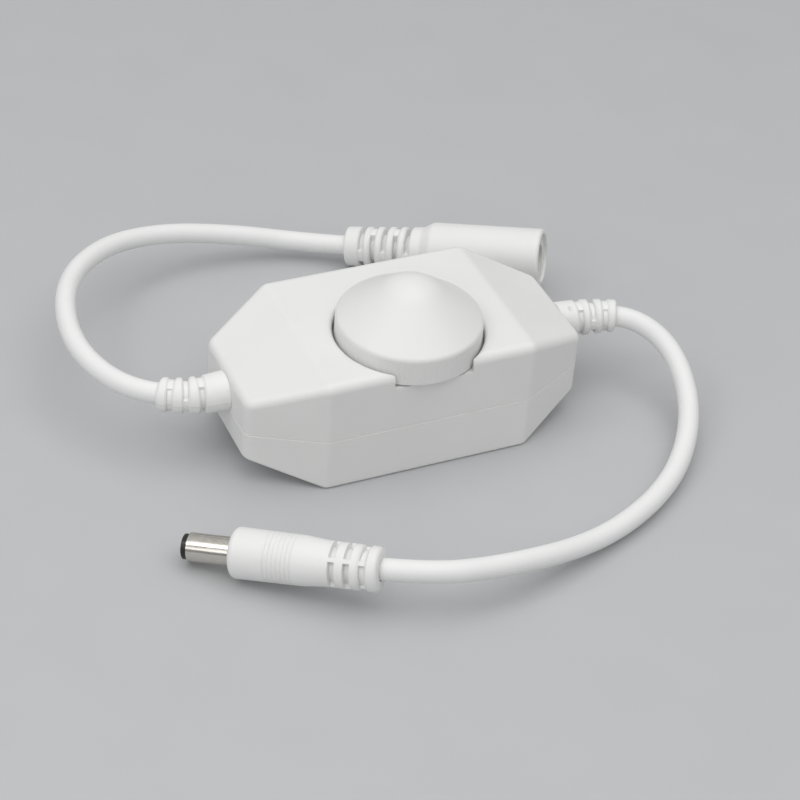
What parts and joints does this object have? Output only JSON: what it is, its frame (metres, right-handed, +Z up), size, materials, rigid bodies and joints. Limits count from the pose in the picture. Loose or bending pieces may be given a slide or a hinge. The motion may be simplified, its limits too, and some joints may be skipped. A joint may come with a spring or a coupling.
{
  "type": "led strip dimmer",
  "caption": "In-line rotary dimmer for low-voltage LED strips: white sloped-end case with a conical dial, a corded barrel jack at the input and a corded barrel plug at the output.",
  "frame": {"origin": "middle of the flat underside of the case", "axes": "+X along the case towards the output cord, +Y towards the long side away from the dial's notch, +Z up"},
  "size_m": [0.119, 0.1215, 0.0361],
  "materials": {
    "white_case": "satin, lightly moulded",
    "white_sleeve": "soft satin",
    "white_cord": "soft satin",
    "nickel": "bright nickel plate",
    "black_plastic": "satin",
    "grey_plastic": "satin",
    "steel": "bright zinc plate",
    "track": "carbon film on laminate",
    "board": "green solder mask",
    "can": "satin",
    "red_insulation": "satin",
    "black_insulation": "satin"
  },
  "bodies": {
    "case": {"top_cover": "white_case", "bottom_cover": "white_case", "input_strain_relief": "white_sleeve", "output_strain_relief": "white_sleeve", "jack_body": "white_sleeve", "plug_grip": "white_sleeve", "input_cable": "white_cord", "output_cable": "white_cord", "plug_barrel": "nickel", "plug_contact": "nickel", "jack_pin": "nickel", "jack_spring": "nickel", "plug_insulator": "black_plastic", "timer_chip": "black_plastic", "power_transistor": "black_plastic", "flyback_diode": "black_plastic", "resistors": "black_plastic", "jack_insert": "grey_plastic", "case_screws": "steel", "potentiometer_plate": "steel", "potentiometer_terminals": "steel", "potentiometer_body": "steel", "potentiometer_track": "track", "circuit_board": "board", "filter_capacitor": "can", "input_positive_core": "red_insulation", "output_positive_core": "red_insulation", "input_negative_core": "black_insulation", "output_negative_core": "black_insulation"},
    "dial": {"dial_knob": "white_case", "potentiometer_shaft": "steel", "potentiometer_wiper": "black_plastic"}
  },
  "joints": [
    {"name": "dial_turn", "type": "hinge", "parent": "case", "child": "dial", "pos_m": [0, -0.0053, 0.0218], "axis": [0, 0, 1], "range_deg": [-150, 150]}
  ]
}
